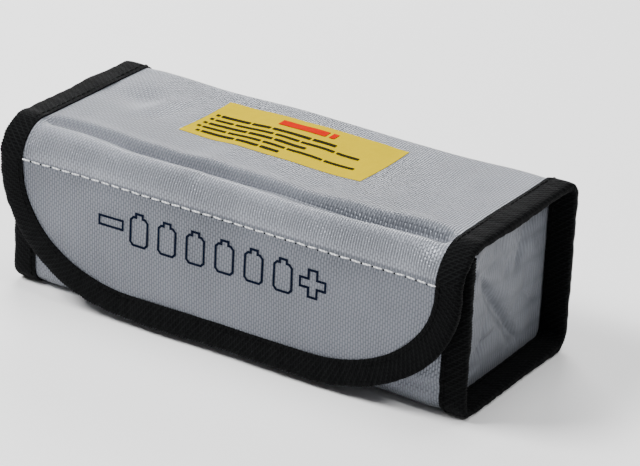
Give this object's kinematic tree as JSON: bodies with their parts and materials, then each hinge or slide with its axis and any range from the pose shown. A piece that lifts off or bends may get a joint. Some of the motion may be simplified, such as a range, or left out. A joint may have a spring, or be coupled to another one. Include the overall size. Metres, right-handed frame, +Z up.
{
  "type": "fire-resistant battery pouch",
  "caption": "Box-shaped pouch of silver coated cloth with black bound seams, recessed end panels and a front flap that folds up over its mouth on a hook-and-loop fastener.",
  "frame": {"origin": "centre of the bounding box's underside, on the surface the pouch stands on", "axes": "+X along the length, -Y out of the front with the flap, +Z up"},
  "size_m": [0.19, 0.085, 0.0653],
  "materials": {
    "coated_cloth": "silver-grey coated glass-fibre cloth, fine ribbed weave, satin sheen",
    "end_cloth": "the same silver-grey coated cloth, limp and creased",
    "backing_cloth": "silver-grey coated cloth, inner face",
    "binding_tape": "black woven grosgrain binding tape, matt",
    "hook_tape": "black nylon hook tape",
    "loop_tape": "black nylon loop tape, fuzzy",
    "black_thread": "black polyester sewing thread",
    "pale_thread": "pale grey polyester sewing thread",
    "yellow_label": "yellow printed film label, satin",
    "navy_ink": "dark navy screen-printed ink, matt"
  },
  "bodies": {
    "case": {"body_wrap": "coated_cloth", "left_end_panel": "end_cloth", "right_end_panel": "end_cloth", "left_end_binding": "binding_tape", "right_end_binding": "binding_tape", "left_end_thread": "black_thread", "right_end_thread": "black_thread", "mouth_binding": "binding_tape", "mouth_thread": "black_thread", "loop_strip": "loop_tape", "loop_thread": "black_thread", "safety_label": "yellow_label"},
    "shoulder": {"shoulder_cloth": "coated_cloth", "left_shoulder_binding": "binding_tape", "right_shoulder_binding": "binding_tape"},
    "flap": {"flap_face": "coated_cloth", "flap_backing": "backing_cloth", "flap_binding": "binding_tape", "flap_binding_thread": "black_thread", "flap_seam_thread": "pale_thread", "hook_strip": "hook_tape", "hook_thread": "black_thread", "flap_print": "navy_ink"}
  },
  "joints": [
    {"name": "flap_fold", "type": "hinge", "parent": "case", "child": "shoulder", "pos_m": [0, -0.0328, 0.0653], "axis": [-1, 0, 0], "range_deg": [0, 170]},
    {"name": "flap_crease", "type": "hinge", "parent": "shoulder", "child": "flap", "pos_m": [0, -0.0428, 0.053], "axis": [-1, 0, 0], "range_deg": [0, 80]}
  ]
}
